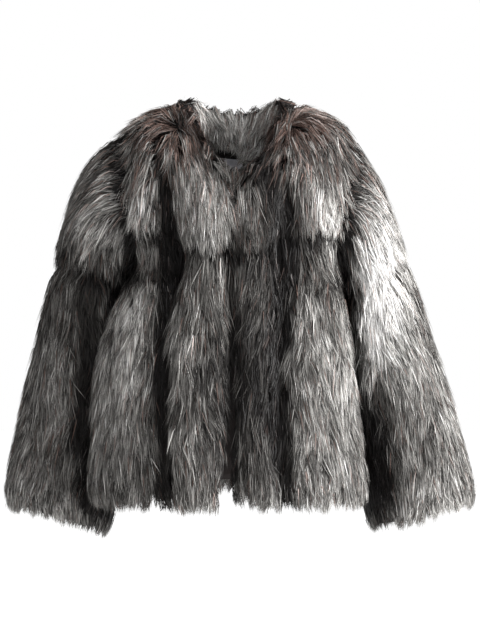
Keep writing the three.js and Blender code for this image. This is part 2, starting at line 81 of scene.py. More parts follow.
# The line down the middle of the wearer's left arm. The right arm mirrors it.
ARM_LINE = np.array([
    [0.140, 0.000, -0.160],
    [0.183, 0.000, -0.173],
    [0.201, 0.002, -0.197],
    [0.211, 0.008, -0.234],
    [0.218, 0.014, -0.272],
    [0.225, 0.019, -0.324],
    [0.231, 0.022, -0.373],
    [0.239, 0.023, -0.427],
    [0.249, 0.020, -0.482],
    [0.262, 0.015, -0.540],
    [0.274, 0.011, -0.596],
    [0.283, 0.009, -0.640],
    [0.290, 0.009, -0.720],
])

# Below this height the middle of the body runs straight down, and above it the middle rises by a share.
TORSO_TOP = -0.24
TORSO_RISE = 0.3

# The hair parts at these points beside the neck, and inside the collar's back it points to the label.
NECK_POINTS = np.array([[-0.085, -0.050, -0.036], [0.081, -0.050, -0.030]])
LABEL_POINT = np.array([-0.018, 0.080, -0.110])

# In front the collar's hair runs down along the neck edge to where the two fronts meet.
FRONT_POINT = np.array([-0.010, -0.125, -0.160])


@dataclass(frozen=True)
class Patch:
    """A soft patch of lighter or darker hair: partly the fur's own uneven tone, partly painted light and
    shade.

    Attributes:
        x: its middle across the coat.
        z: its middle in height.
        half_width: its reach across.
        half_height: its reach in height.
        gain: how much lighter the hair is painted, or darker below 0.
    """

    x: float
    z: float
    half_width: float
    half_height: float
    gain: float

    def at(self, points: np.ndarray) -> np.ndarray:
        """The patch's share of lightness at each point."""
        across = (points[:, 0] - self.x) / self.half_width
        down = (points[:, 2] - self.z) / self.half_height
        return self.gain * np.exp(-(across**2) - down**2)


@dataclass(frozen=True)
class Fold:
    """A deep fold down the front, where the hair is pressed in and painted nearly black, as painted shade.

    Attributes:
        course: its places from the top down, each an x, a z and half its width.
        depth: how black its painted shade is, up to 1; it also scales how deep its hair sinks and how high
            it ends.
        fade: the height over which it ends.
    """

    course: tuple[tuple[float, float, float], ...]
    depth: float = 1.0
    fade: float = 0.03

    def at(self, points: np.ndarray) -> np.ndarray:
        """The fold's share at each point, from 0 outside to 1 in its middle."""
        x, z, half = np.array(self.course)[::-1].T
        height = points[:, 2]
        off = (points[:, 0] - np.interp(height, z, x)) / np.interp(height, z, half)
        past = np.maximum(height - z[-1], z[0] - height)
        return self.depth * (1 - smooth(past, 0.0, self.fade)) * np.exp(-np.abs(off) ** 3)


# The deep folds down the front, where the hair is painted nearly black as painted shade.
FRONT_FOLDS = [
    Fold((
        (-0.110, -0.050, 0.007),
        (-0.108, -0.110, 0.012),
        (-0.108, -0.230, 0.015),
        (-0.108, -0.330, 0.015),
        (-0.104, -0.430, 0.013),
        (-0.102, -0.580, 0.009),
    )),
    Fold((
        (0.058, -0.075, 0.010),
        (0.061, -0.110, 0.028),
        (0.064, -0.160, 0.036),
        (0.069, -0.230, 0.030),
        (0.068, -0.280, 0.022),
        (0.062, -0.330, 0.019),
        (0.059, -0.400, 0.018),
        (0.062, -0.530, 0.013),
    )),
    Fold((
        (-0.009, -0.130, 0.004),
        (-0.009, -0.200, 0.006),
        (-0.011, -0.300, 0.009),
        (-0.012, -0.560, 0.011),
    ), depth=0.85),
    Fold((
        (-0.214, -0.240, 0.012),
        (-0.230, -0.320, 0.018),
        (-0.236, -0.420, 0.018),
        (-0.234, -0.500, 0.010),
    ), depth=0.80),
    Fold((
        (0.166, -0.230, 0.005),
        (0.175, -0.380, 0.005),
        (0.194, -0.500, 0.009),
        (0.210, -0.600, 0.014),
    ), depth=0.8),
]
# Patches of lighter and darker hair: partly the fur's own uneven tone, partly painted light and shade, such
# as painted shade below a tier and in troughs and a painted lit strip on a sleeve.
FRONT_TONE_AND_SHADE_PATCHES = [
    Patch(-0.172, -0.170, 0.055, 0.045, 0.26),
    Patch(-0.044, -0.142, 0.026, 0.036, 0.22),
    Patch(0.016, -0.155, 0.022, 0.032, 0.18),
    Patch(0.150, -0.150, 0.030, 0.040, 0.16),
    Patch(0.105, -0.140, 0.018, 0.050, -0.16),
    Patch(-0.010, -0.095, 0.060, 0.022, -0.12),
    Patch(0.210, -0.190, 0.040, 0.060, 0.14),
    Patch(0.204, -0.310, 0.030, 0.110, 0.84),
    Patch(-0.229, -0.234, 0.070, 0.022, -0.40),
    Patch(-0.087, -0.215, 0.050, 0.016, -0.10),
    Patch(0.026, -0.400, 0.034, 0.190, -0.52),
    Patch(-0.054, -0.400, 0.040, 0.190, -0.24),
    Patch(-0.280, -0.440, 0.060, 0.160, -0.08),
    Patch(-0.120, -0.070, 0.050, 0.045, -0.08),
    Patch(-0.165, -0.330, 0.030, 0.100, 0.20),
    Patch(0.050, -0.125, 0.024, 0.040, -0.30),
    Patch(-0.145, -0.120, 0.030, 0.030, 0.10),
    Patch(0.030, -0.210, 0.030, 0.020, -0.20),
]
BACK_TONE_AND_SHADE_PATCHES = [
    Patch(-0.110, -0.175, 0.060, 0.040, 0.12),
    Patch(0.090, -0.185, 0.050, 0.040, 0.12),
    Patch(-0.060, -0.380, 0.020, 0.120, 0.12),
    Patch(0.050, -0.430, 0.022, 0.110, 0.12),
    Patch(-0.200, -0.400, 0.030, 0.120, 0.12),
    Patch(0.220, -0.350, 0.030, 0.120, 0.12),
]


def unit(vectors: np.ndarray) -> np.ndarray:
    """Scale each row to length 1."""
    return vectors / np.maximum(np.linalg.norm(vectors, axis=-1, keepdims=True), 1e-9)


def dot(a: np.ndarray, b: np.ndarray) -> np.ndarray:
    """The dot product of each pair of rows, kept as a column."""
    return np.sum(a * b, axis=-1, keepdims=True)


def smooth(value: np.ndarray, low: float, high: float) -> np.ndarray:
    """A soft step from 0 at low to 1 at high."""
    t = np.clip((value - low) / (high - low), 0.0, 1.0)
    return t * t * (3 - 2 * t)


def ripple(points: np.ndarray, seed: int, size: float, stretch: float = 1.0) -> np.ndarray:
    """Soft noise from -1 to 1 over the coat, as a sum of a few waves.

    Args:
        points: positions, one a row.
        seed: picks the waves.
        size: length of a wave, in metres.
        stretch: how many times longer the waves are in height.

    Returns:
        One value a row.
    """
    rng = np.random.default_rng(seed)
    placed = points / [1, 1, stretch]
    total = np.zeros(len(points))
    for _ in range(7):
        way = unit(rng.normal(size=3)) * 2 * math.pi / size * rng.uniform(0.6, 1.7)
        total += np.sin(placed @ way + rng.uniform(0, 2 * math.pi))
    return total / 3.4


def outward(part: Part, points: np.ndarray) -> np.ndarray:
    """Unit directions from the middle of the body or of an arm through the points.

    Args:
        part: which middle line the points lie round.
        points: positions, one a row.

    Returns:
        One direction a row.
    """
    if part is not Part.ARM:
        height = points[:, 2]
        risen = TORSO_TOP + (height - TORSO_TOP) * TORSO_RISE
        centre = np.zeros_like(points)
        centre[:, 2] = np.where(height > TORSO_TOP, risen, height)
        return unit(points - centre)
    line = ARM_LINE * [np.sign(points[:, 0].mean()), 1, 1]
    best = np.full(len(points), np.inf)
    found = np.zeros_like(points)
    for start, end in zip(line[:-1], line[1:]):
        along = end - start
        t = np.clip((points - start) @ along / (along @ along), 0, 1)
        near = start + t[:, None] * along
        gap = np.linalg.norm(points - near, axis=1)
        found[gap < best] = near[gap < best]
        best = np.minimum(best, gap)
    return unit(points - found)


def solid(node: str) -> bmesh.types.BMesh:
    """A copy of a panel's solid with its points merged."""
    bm = bmesh.new()
    bm.from_mesh(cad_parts[node].data)
    bmesh.ops.remove_doubles(bm, verts=bm.verts, dist=2e-5)
    bm.faces.ensure_lookup_table()
    return bm


def sides_of(bm: bmesh.types.BMesh, part: Part) -> list[Side]:
    """Tell the fur side, the lining side and the seams of a wall apart."""
    middles = np.array([f.calc_center_median() for f in bm.faces])
    normals = np.array([f.normal for f in bm.faces])
    facing = dot(outward(part, middles), normals)[:, 0]
    return [Side.FUR if d > 0.24 else Side.LINING if d < -0.24 else Side.SEAM for d in facing]


class NeckEdge:
    """The upper panels that carry the collar, used to tell the collar's sides apart."""

    NODES = ("yoke_front_right", "yoke_front_left", "yoke_back")

    def __init__(self) -> None:
        """Join the upper panels in one search tree."""
        verts, faces, self.sides = [], [], []
        for node in self.NODES:
            bm = solid(node)
            start = len(verts)
            verts += [v.co.copy() for v in bm.verts]
            faces += [[v.index + start for v in f.verts] for f in bm.faces]
            self.sides += sides_of(bm, Part.BODY)
            bm.free()
        self.tree = BVHTree.FromPolygons(verts, faces)

    def side(self, face: bmesh.types.BMFace) -> Side:
        """Which side of the collar a face is on.

        Args:
            face: of the collar.

        Returns:
            Its side. The part that lies against the lining counts as lining.
        """
        middle = face.calc_center_median()
        spot, normal, index, gap = self.tree.find_nearest(middle)
        if gap < 0.0007 or (abs(middle.x) < 0.006 and abs(face.normal.x) > 0.9):
            return Side.SEAM
        lift = middle - spot
        sideways = (lift - normal * lift.dot(normal)).length
        if self.sides[index] is not Side.LINING or sideways > 0.0012:
            return Side.FUR
        turned = face.normal.dot(normal)
        return Side.FUR if turned > 0.0 else Side.LINING


class Sheet:
    """The outer face of one panel as a smooth sheet, with the thickness of the wall under it."""

    THINNEST = 0.006
    THICKEST = 0.028

    def __init__(self, node: str, part: Part) -> None:
        """Read the panel's solid and keep its outer face.

        Args:
            node: the name of the panel's solid.
            part: what the panel goes round.
        """
        self.node = node
        self.part = part
        self.is_skirt = node.startswith("body")
        self.is_upper = node.startswith(("yoke", "sleeve_cap"))
        self.bm = solid(node)
        if part is Part.NECK:
            edge = NeckEdge()
            sides = [edge.side(f) for f in self.bm.faces]
            inner = (Side.LINING, Side.SEAM)
        else:
            sides = sides_of(self.bm, part)
            inner = (Side.LINING,)
        lining = self.bm.copy()
        lining.faces.ensure_lookup_table()
        self._keep(lining, sides, inner)
        self.lining_tree = BVHTree.FromBMesh(lining)
        lining.free()
        self._keep(self.bm, sides, (Side.FUR,))
        bmesh.ops.join_triangles(
            self.bm, faces=self.bm.faces, angle_face_threshold=0.9, angle_shape_threshold=1.6
        )
        self._refine()
        self.thickness = self._thickness()

    @staticmethod
    def _keep(bm: bmesh.types.BMesh, sides: list[Side], kept: tuple[Side, ...]) -> None:
        """Delete the faces of all other sides."""
        gone = [f for f, side in zip(bm.faces, sides) if side not in kept]
        bmesh.ops.delete(bm, geom=gone, context="FACES")

    def _refine(self) -> None:
        """Round the sheet with one level of subdivision, and keep it as arrays."""
        mesh = bpy.data.meshes.new("rounding")
        self.bm.to_mesh(mesh)
        holder = bpy.data.objects.new("rounding", mesh)
        bpy.context.scene.collection.objects.link(holder)
        rounding = holder.modifiers.new("rounding", "SUBSURF")
        rounding.levels = rounding.render_levels = 1
        rounding.boundary_smooth = "PRESERVE_CORNERS"
        made = holder.evaluated_get(bpy.context.evaluated_depsgraph_get()).to_mesh()
        self.bm.clear()
        self.bm.from_mesh(made)
        bpy.data.objects.remove(holder)
        bpy.data.meshes.remove(mesh)
        self.bm.normal_update()
        self.bm.verts.ensure_lookup_table()
        self.bm.faces.ensure_lookup_table()
        self.points = np.array([v.co for v in self.bm.verts])
        self.normals = np.array([v.normal for v in self.bm.verts])
        fans = []
        for face in self.bm.faces:
            ring = [v.index for v in face.verts]
            fans += [(ring[0], ring[k], ring[k + 1]) for k in range(1, len(ring) - 1)]
        self.triangles = np.array(fans)
        corners = self.points[self.triangles]
        self.areas = 0.5 * np.linalg.norm(
            np.cross(corners[:, 1] - corners[:, 0], corners[:, 2] - corners[:, 0]), axis=1
        )

    def hem(self, points: np.ndarray) -> np.ndarray:
        """The height of the sheet's lower edge under each point, for a sheet of the lower body."""
        places = np.linspace(-0.3, 0.3, 41)
        own = self.points
        lowest = [own[np.argsort(np.abs(own[:, 0] - x))[:60], 2].min() for x in places]
        return np.interp(points[:, 0], places, lowest)

    def _thickness(self) -> np.ndarray:
        """How far the lining lies under each point of the sheet."""
        found = np.full(len(self.points), np.nan)
        for i, (point, normal) in enumerate(zip(self.points, self.normals)):
            start = Vector(point - normal * 0.001)
            _, _, _, gap = self.lining_tree.ray_cast(start, Vector(-normal), 0.05)
            _, _, _, near = self.lining_tree.find_nearest(start)
            found[i] = min(gap or 1.0, (near or 1.0) * 1.5)
        found = np.clip(found, self.THINNEST, self.THICKEST)
        ends = np.array([[v.index for v in e.verts] for e in self.bm.edges])
        for _ in range(2):
            total, count = found.copy(), np.ones(len(found))
            for a, b in (ends.T, ends.T[::-1]):
                np.add.at(total, a, found[b])
                np.add.at(count, a, 1)
            found = np.minimum(found, total / count)
        return found


class Coat:
    """All panels, joined for what one panel has to know of its neighbours."""

    SKY = 0.12
    RELIEF_REACH = 0.026

    def __init__(self, sheets: list[Sheet]) -> None:
        """Build the search trees over all sheets.

        Args:
            sheets: the outer face of each panel.
        """
        self.sheets = sheets
        verts, faces = [], []
        self.trees = []
        for sheet in sheets:
            start = len(verts)
            own = [Vector(p) for p in sheet.points]
            rings = [tuple(map(int, t)) for t in sheet.triangles]
            verts += own
            faces += [tuple(i + start for i in t) for t in rings]
            self.trees.append(BVHTree.FromPolygons(own, rings))
        self.tree = BVHTree.FromPolygons(verts, faces)
        self.middles = np.concatenate([s.points[s.triangles].mean(axis=1) for s in sheets])
        self.areas = np.concatenate([s.areas for s in sheets])

    def land(self, goals: np.ndarray) -> tuple[np.ndarray, np.ndarray, np.ndarray]:
        """Put points on the coat, or on its surface carried on past a free edge.

        Args:
            goals: positions near the coat.

        Returns:
            The places, the normals there and how far each place is past a free edge.
        """
        places, normals = np.empty_like(goals), np.empty_like(goals)
        past = np.zeros(len(goals))
        for i, goal in enumerate(goals):
            wanted = Vector(goal)
            spot, normal, _, _ = self.tree.find_nearest(wanted)
            rest = wanted - spot
            rest -= normal * rest.dot(normal)
            past[i] = rest.length
            places[i] = spot + rest if past[i] > 0.0008 else spot
            normals[i] = normal
        return places, normals, past

    def openness(self, points: np.ndarray, normals: np.ndarray) -> np.ndarray:
        """How open the sky is over each point, from 0 deep in a fold to 1 on a crown."""
        free = np.zeros(len(points))
        side = unit(np.cross(normals, [0.31, 0.17, 0.93]))
        across = np.cross(normals, side)
        turns = [None] + [2 * math.pi * k / 7 for k in range(7)]
        for turn in turns:
            way = normals
            if turn is not None:
                lean = side * math.cos(turn) + across * math.sin(turn)
                way = normals * math.cos(0.95) + lean * math.sin(0.95)
            starts = points + normals * 0.004
            for i in range(len(points)):
                hit = self.tree.ray_cast(Vector(starts[i]), Vector(way[i]), self.SKY)
                free[i] += 1.0 if hit[0] is None else (hit[3] / self.SKY) ** 1.5
        return free / len(turns)

    def relief(self, points: np.ndarray, normals: np.ndarray) -> np.ndarray:
        """How far each point stands over the coat round it, in metres."""
        found = np.zeros(len(points))
        order = np.argsort(points[:, 2])
        heights = self.middles[:, 2]
        for first in range(0, len(points), 300):
            part = order[first : first + 300]
            low, high = points[part[0], 2], points[part[-1], 2]
            reach = 3 * self.RELIEF_REACH
            near = np.nonzero((heights > low - reach) & (heights < high + reach))[0]
            gaps = (points[part][:, None] - self.middles[near][None]).astype(np.float32)
            weight = np.exp(-np.sum(gaps**2, axis=2) / (2 * self.RELIEF_REACH**2)) * self.areas[near]
            mean = np.einsum("ij,ijk->ik", weight, gaps) / weight.sum(axis=1, keepdims=True)
            found[part] = dot(mean, normals[part])[:, 0]
        return found


class Fur:
    """The pile of hair on one panel, as one joined mesh of flat tapering hairs."""

    # Three stations along a hair, with the shares of its sunk depth and of its standing height there.
    STATIONS = np.array([0.0, 0.38, 1.0])
    RISE = np.array([-1.0, -0.14, 0.0])
    STANDING = np.array([0.0, 0.7, 1.0])

    # Hair that an edge leaves shorter than this share is dropped, and so is what hangs past the hem.
    SHORTEST = 0.42
    HEM_SLACK = 0.002

    # On the body the hair leans sideways by this share alone.
    SLANT = 0.35

    # In a fold the hair is painted nearly black, as painted shade, and it lies deeper and ends higher.
    FOLD_PAINTED_SHADE = 0.015
    FOLD_SINK = 0.012
    FOLD_RISE = 0.008
    DEEPEST = -0.4

    # Beside the neck and just below a tier the roots lie shallow, and their darkest part is hidden.
    SHALLOW = {"parting": 0.75, "bared": 0.60}
    HIDDEN = {"parting": 0.46, "bared": 0.34}
    # Beside the neck, where the hair parts, it is painted darker by this much, as painted shade.
    PARTING_PAINTED_SHADE = 0.20

    # The collar: where its outside starts, how far its hair passes its edges, and how high its roll stands.
    PARTING = 0.55
    INNER_OVERHANG = (-0.008, 0.001)
    LABEL_GAP = 0.013
    LABEL_HALF = 0.03
    FRONT_FALL = 0.020
    CREST = 0.008

    # Half the width of one hair on the bake map, and the margin above and below.
    MAP_HALF = 0.0025
    MAP_MARGIN = 0.01

    def __init__(self, coat: Coat, index: int, pile: "Pile", seed: int) -> None:
        """Keep what the hair grows from.

        Args:
            coat: all sheets.
            index: which sheet the hair grows on.
            pile: how it grows.
            seed: of this panel's random numbers.
        """
        self.coat = coat
        self.index = index
        self.sheet = coat.sheets[index]
        self.pile = pile
        self.rng = np.random.default_rng(seed)

    def _roots(self) -> tuple[np.ndarray, np.ndarray, np.ndarray]:
        """Spread the locks over the sheet.

        Returns:
            Their places, the sheet's normals there and the thickness of the wall there.
        """
        sheet = self.sheet
        count = int(self.pile.density * sheet.areas.sum())
        ends = np.cumsum(sheet.areas) / sheet.areas.sum()
        picked = (np.arange(count) + self.rng.random(count)) / count
        face = np.minimum(np.searchsorted(ends, picked), len(sheet.triangles) - 1)
        u, v = self.rng.random((2, count))
        over = u + v > 1
        u, v = np.where(over, 1 - u, u), np.where(over, 1 - v, v)
        share = np.stack([1 - u - v, u, v], axis=1)[:, :, None]
        chosen = sheet.triangles[face]
        places = np.sum(sheet.points[chosen] * share, axis=1)
        normals = unit(np.sum(sheet.normals[chosen] * share, axis=1))
        thickness = np.sum(sheet.thickness[chosen] * share[:, :, 0], axis=1)
        return places, normals, thickness

    def _lie(self, points: np.ndarray, normals: np.ndarray) -> np.ndarray:
        """Where the hair of this panel would point, before it is laid along the sheet."""
        away = np.zeros_like(points)
        for corner in NECK_POINTS:
            gap = points - corner
            far = np.linalg.norm(gap, axis=1, keepdims=True)
            away += unit(gap) * np.exp(-far / 0.07) * 2.4
        if self.sheet.part is Part.NECK:
            ring = unit(points * [1, 1, 0])
            inside = unit(LABEL_POINT - points) * 0.9 - ring * 0.3 + away * 0.2
            outside = dot(normals, ring) > self.PARTING
            back = DOWN * 0.8 + np.where(outside, ring * 0.7 + away * 0.5, inside)
            front = unit(FRONT_POINT - points) * 1.2 + DOWN * 0.5 + ring * 0.3
            return back + (front - back) * smooth(-points[:, 1:2], 0.0, 0.05)
        if self.sheet.part is Part.BODY:
            return DOWN + away
        line = ARM_LINE * [np.sign(points[:, 0].mean()), 1, 1]
        line = line[np.argsort(line[:, 2])]
        steps = -np.gradient(line, axis=0)
        arm = np.stack([np.interp(points[:, 2], line[:, 2], steps[:, k]) for k in range(3)], axis=1)
        return unit(arm) + away * 0.6

    def _flow(self, points: np.ndarray, normals: np.ndarray) -> np.ndarray:
        """The direction of the hair along the sheet at each point."""
        lie = self._lie(points, normals)
        flow = unit(lie - dot(lie, normals) * normals)
        if self.sheet.is_skirt:
            flow = unit(flow * [self.SLANT, 1, 1])
        across = np.cross(normals, flow)
        turn = 0.20 * ripple(points, 11, 0.12, 1.5) + 0.12 * ripple(points, 12, 0.04) + self.turns
        return flow * np.cos(turn)[:, None] + across * np.sin(turn)[:, None]

    def _walk(self, roots: np.ndarray, normals: np.ndarray) -> tuple[np.ndarray, np.ndarray, np.ndarray]:
        """Follow the flow over the coat from each root.

        Args:
            roots: where the locks start.
            normals: the sheet's normals there.

        Returns:
            The stations' places and normals, and how far each lock passes its panel's edge.
        """
        own = self.coat.trees[self.index]
        places, facing = [roots], [normals]
        here, normal = roots, normals
        paces = 4 if self.sheet.part is Part.NECK else 1
        for step in np.diff(self.STATIONS):
            for _ in range(paces):
                way = self._flow(here, normal)
                here, turned, past = self.coat.land(here + way * (self.lengths * step / paces)[:, None])
                normal = unit(normal * 0.5 + turned * 0.7)
            places.append(here)
            facing.append(normal)
        passed = np.array([own.find_nearest(Vector(p))[3] for p in here])
        return np.stack(places, axis=1), np.stack(facing, axis=1), np.maximum(passed, past)

    def _tone_with_painted_light(self, points: np.ndarray, normals: np.ndarray, relief: np.ndarray) -> np.ndarray:
        """How light the hair is at each lock, about 0.45 in the mean: a random tone with painted light and
        shade laid over it.
        """
        openness = self.coat.openness(points, normals)
        tone = 0.45 + 0.08 * ripple(points, 21, 0.10, 2.5) + 0.08 * ripple(points, 22, 0.026, 2.5)
        tone += self.rng.normal(0, 0.11, len(points))
        # Painted shade where little sky is open over the hair and in hollows, and painted light on crowns.
        tone += 0.45 * (openness - 0.90) + 14.0 * np.clip(relief - 0.001, 0, 0.007)
        tone -= 0.50 * smooth(-relief, -0.0015, 0.006)
        sheet = self.sheet
        uneven = np.clip(0.55 + 0.75 * ripple(points, 23, 0.09), 0, 1.3)
        # The upper panels are lighter towards their lower edge, and the lower panels are darker just below
        # their top edge, as painted shade under the tier above.
        if sheet.is_upper:
            low = np.percentile(sheet.points[:, 2], 4)
            tone += 0.20 * uneven * (1 - smooth(points[:, 2] - low, 0.02, 0.12)) - 0.05
        elif sheet.part is not Part.NECK:
            top = np.percentile(sheet.points[:, 2], 96)
            tone -= 0.10 * uneven * (1 - smooth(top - points[:, 2], 0.01, 0.06))
        else:
            # Painted light on the hair inside the collar, where it lies in shade, and painted shade on the
            # collar's front.
            inside = 1 - smooth(dot(normals, unit(points * [1, 1, 0]))[:, 0], -0.4, 0.4)
            ahead = smooth(-points[:, 1], 0.0, 0.05)
            tone += 0.20 * inside * (1 - ahead) - 0.20 * ahead
        front = points[:, 1] < 0.01
        # The patches add partly the fur's own tone and partly painted light and shade.
        for patches, faced in ((FRONT_TONE_AND_SHADE_PATCHES, front), (BACK_TONE_AND_SHADE_PATCHES, ~front)):
            for patch in patches:
                tone += patch.at(points) * faced
        log.info(
            "%s: openness %s, relief %s mm, tone %s",
            sheet.node,
            np.percentile(openness, [5, 25, 50, 75]).round(2),
            (np.percentile(relief, [5, 25, 50, 75]) * 1000).round(1),
            np.percentile(tone, [5, 25, 50, 75, 95]).round(2),
        )
        return tone

    def _overhang(self, points: np.ndarray, normals: np.ndarray) -> np.ndarray:
        """How far each lock may pass its panel's edge."""
        least, most = self.pile.overhang
        found = self.rng.uniform(least, most, len(points))
        found += self.pile.ragged * (ripple(points, 31, 0.15) + 0.6 * ripple(points, 32, 0.05))
        if self.sheet.part is Part.NECK:
            inside = dot(normals, unit(points * [1, 1, 0]))[:, 0] < self.PARTING
            inner = self.rng.uniform(*self.INNER_OVERHANG, len(points))
            inner -= self.LABEL_GAP * (np.abs(points[:, 0] - LABEL_POINT[0]) < self.LABEL_HALF)
            found = np.where(inside & (points[:, 1] > -0.02), inner, found)
            found += self.FRONT_FALL * smooth(-points[:, 1], 0.02, 0.06)
        if self.sheet.is_skirt:
            found -= self.FOLD_RISE * self._folds(points)
        return found

    def _parting(self, points: np.ndarray) -> np.ndarray:
        """How near each point is to where the hair parts beside the neck, from 0 to 1."""
        gaps = [np.linalg.norm(points - corner, axis=1) for corner in NECK_POINTS]
        return np.exp(-((np.min(gaps, axis=0) / 0.034) ** 2))

    def _bared(self, points: np.ndarray) -> np.ndarray:
        """How far each lock comes out from under the tier above, from 0 to 1."""
        sheet = self.sheet
        if sheet.part is Part.NECK or sheet.is_upper:
            return np.zeros(len(points))
        top = np.percentile(sheet.points[:, 2], 97)
        return 1 - smooth(top - points[:, 2], 0.005, 0.045)

    def _folds(self, points: np.ndarray) -> np.ndarray:
        """How deep in a fold of the front each point lies, from 0 to 1."""
        deep = np.max([fold.at(points) for fold in FRONT_FOLDS], axis=0)
        return deep * (points[:, 1] < 0.01)

    def _brown(self, points: np.ndarray) -> np.ndarray:
        """Share of red-brown hair at each lock: most beside the neck and on the shoulders."""
        gaps = [np.linalg.norm(points - corner, axis=1) for corner in NECK_POINTS]
        near = np.min(gaps, axis=0)
        return 0.60 * np.exp(-((near / 0.040) ** 2)) + 0.20 * np.exp(-((near / 0.12) ** 2)) + 0.05

    def build(self) -> bpy.types.Object:
        """Make the mesh of all hairs of the panel.

        Returns:
            The new object.
        """
        pile, rng = self.pile, self.rng
        roots, normals, thickness = self._roots()
        wanted = pile.length * rng.uniform(0.84, 1.12, len(roots))
        self.lengths = wanted
        self.turns = rng.normal(0, pile.stray, len(roots))
        overhang = self._overhang(roots, normals)
        _, _, passed = self._walk(roots, normals)
        self.lengths = wanted - np.maximum(passed - overhang, 0)
        kept = self.lengths > self.SHORTEST * wanted
        if self.sheet.is_skirt:
            places, _, _ = self._walk(roots, normals)
            kept &= places[:, -1, 2] > self.sheet.hem(roots) - self.HEM_SLACK
        roots, normals, thickness = roots[kept], normals[kept], thickness[kept]
        self.lengths, self.turns = self.lengths[kept], self.turns[kept]
        places, facing, _ = self._walk(roots, normals)
        relief = self.coat.relief(roots, normals)
        folds, parting, bared = self._folds(roots), self._parting(roots), self._bared(roots)
        tone, brown = self._tone_with_painted_light(roots, normals, relief), self._brown(roots)
        # Painted shade beside the neck, where the hair parts.
        tone -= self.PARTING_PAINTED_SHADE * parting
        # Painted shade: in the front folds the hair is painted nearly black.
        tone += folds * (self.FOLD_PAINTED_SHADE - tone)
        log.info("%s: %d of %d locks kept", self.sheet.node, len(roots), len(kept))
        proud = pile.proud + np.clip((relief - 0.003) * 0.6, -0.009, 0.003)
        if self.sheet.part is Part.NECK:
            proud = proud + self.CREST * np.clip(normals[:, 2], 0, 1)
        proud = proud - self.FOLD_SINK * folds
        proud = np.maximum(proud, self.DEEPEST * thickness) + rng.normal(0, 0.0018, len(roots))
        shallow = self.SHALLOW["parting"] * parting + self.SHALLOW["bared"] * bared
        depth = thickness * pile.rooting * (1 - shallow)
        height = depth[:, None] * self.RISE + proud[:, None] * self.STANDING
        spine = places + facing * height[:, :, None]
        # In the folds the dark roots stay whole and the hairs of a lock differ little in lightness, so the
        # painted shade stays black.
        hidden = self.HIDDEN["parting"] * parting + self.HIDDEN["bared"] * bared * (1 - folds)
        return self._hairs(spine, facing, tone, brown, 1 - 0.9 * folds, hidden)

    def _hairs(
        self,
        spine: np.ndarray,
        facing: np.ndarray,
        tone: np.ndarray,
        brown: np.ndarray,
        mixed: np.ndarray,
        hidden: np.ndarray,
    ) -> bpy.types.Object:
        """Set the hairs of every lock round its spine.

        Args:
            spine: the stations of each lock.
            facing: the coat's normals at the stations.
            tone: lightness of each lock.
            brown: share of brown hair in each lock.
            mixed: how much the hairs of each lock differ in lightness.
            hidden: how much of the dark root each lock lacks, as a share of its length.

        Returns:
            The new object.
        """
        pile, rng = self.pile, self.rng
        count = len(spine) * pile.strands
        lock = np.repeat(np.arange(len(spine)), pile.strands)
        steps = unit(spine[:, 1:] - spine[:, :-1])
        along = np.concatenate([steps, steps[:, -1:]], axis=1)[lock]
        normal = unit(facing[lock] - dot(facing[lock], along) * along)
        across = np.cross(normal, along)
        reach = pile.spread * np.sqrt(rng.random(count)) * 1.25
        turn = rng.uniform(0, 2 * math.pi, count)
        clump = rng.uniform(0.50, 0.97, count)
        gather = 1 - clump[:, None] * self.STATIONS
        wild = np.where(rng.random(count) < 0.08, 0.008, 0.0022)
        stray = (rng.normal(0, 1, count) * wild)[:, None] * self.STATIONS**2
        flown = np.abs(rng.normal(0, 0.0022, (count, 1))) * [0, 1, 1]
        sideways = (reach * np.cos(turn))[:, None] * gather + stray
        length = np.linalg.norm(spine[:, -1] - spine[:, 0], axis=1)[lock]
        share = rng.uniform(0.78, 1.06, count) - 1
        forward = (reach * np.sin(turn))[:, None] * gather * 0.9 + (share * length)[:, None] * self.STATIONS
        middle = spine[lock] + across * sideways[:, :, None] + along * forward[:, :, None]
        middle += normal * flown[:, :, None]
        roll = rng.normal(0, 0.55, count)[:, None, None]
        way = unit(across * np.cos(roll) + normal * np.sin(roll))
        width = pile.width * rng.uniform(0.6, 1.3, count)
        half = way[:, :2] * (0.5 * width[:, None] * [0.8, 1.0])[:, :, None]
        points = np.empty((count, 5, 3), np.float32)
        points[:, 0:4:2] = middle[:, :2] - half
        points[:, 1:4:2] = middle[:, :2] + half
        points[:, 4] = middle[:, 2]
        shade = np.clip(tone[lock] + rng.normal(0, 0.15, count) * mixed[lock], 0.015, 0.985)
        is_brown = rng.random(count) < brown[lock]
        column = np.where(is_brown, BROWN_FROM + (1 - BROWN_FROM) * shade, BROWN_FROM * shade)
        return self._mesh(points, column, hidden[lock])

